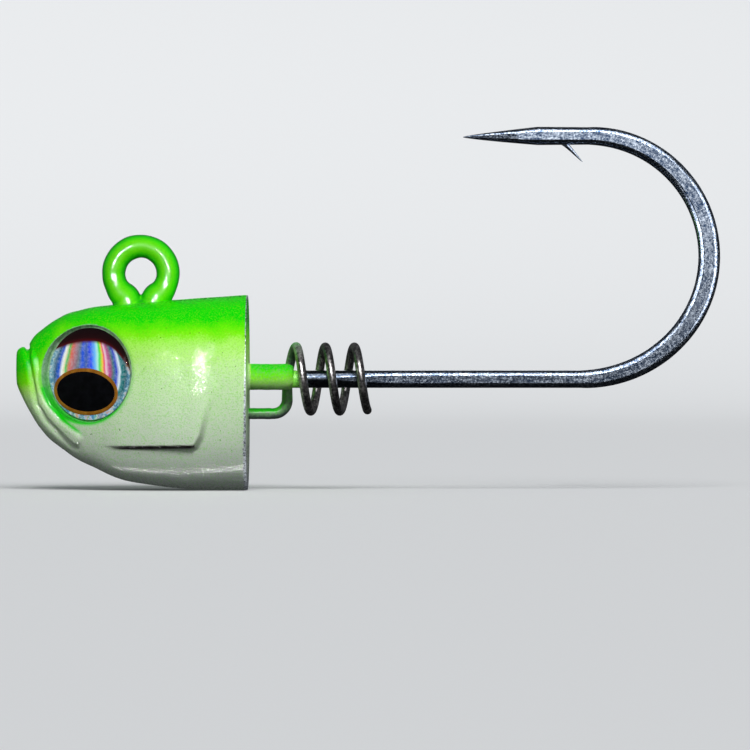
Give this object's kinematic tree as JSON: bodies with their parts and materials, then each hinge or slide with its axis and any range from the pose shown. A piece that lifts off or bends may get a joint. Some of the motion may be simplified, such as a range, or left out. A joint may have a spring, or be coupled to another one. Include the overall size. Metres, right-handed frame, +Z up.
{
  "type": "fishing jig head",
  "caption": "Fish-shaped lead jig head with domed foil eyes, cast round a forged hook with a ring line tie, and a wire coil bait keeper behind it.",
  "frame": {"origin": "centre of the head's flat rear face, where a soft bait butts up, on the middle plane", "axes": "+X from the nose towards the hook's bend, +Z up towards the line tie and the point, Y across the head"},
  "size_m": [0.0703, 0.0148, 0.0363],
  "materials": {
    "hook_steel": "satin",
    "head_paint": "gloss",
    "keeper_steel": "gloss",
    "eye_adhesive": "satin",
    "eye_foil": "gloss",
    "pupil_ink": "gloss",
    "eye_clear": "polished"
  },
  "bodies": {
    "root": {"hook": "hook_steel", "head_casting": "head_paint", "bait_keeper_coil": "keeper_steel", "eye_adhesive_left": "eye_adhesive", "eye_adhesive_right": "eye_adhesive", "eye_foil_left": "eye_foil", "eye_foil_right": "eye_foil", "pupil_print_left": "pupil_ink", "pupil_print_right": "pupil_ink", "eye_dome_left": "eye_clear", "eye_dome_right": "eye_clear"}
  },
  "joints": []
}
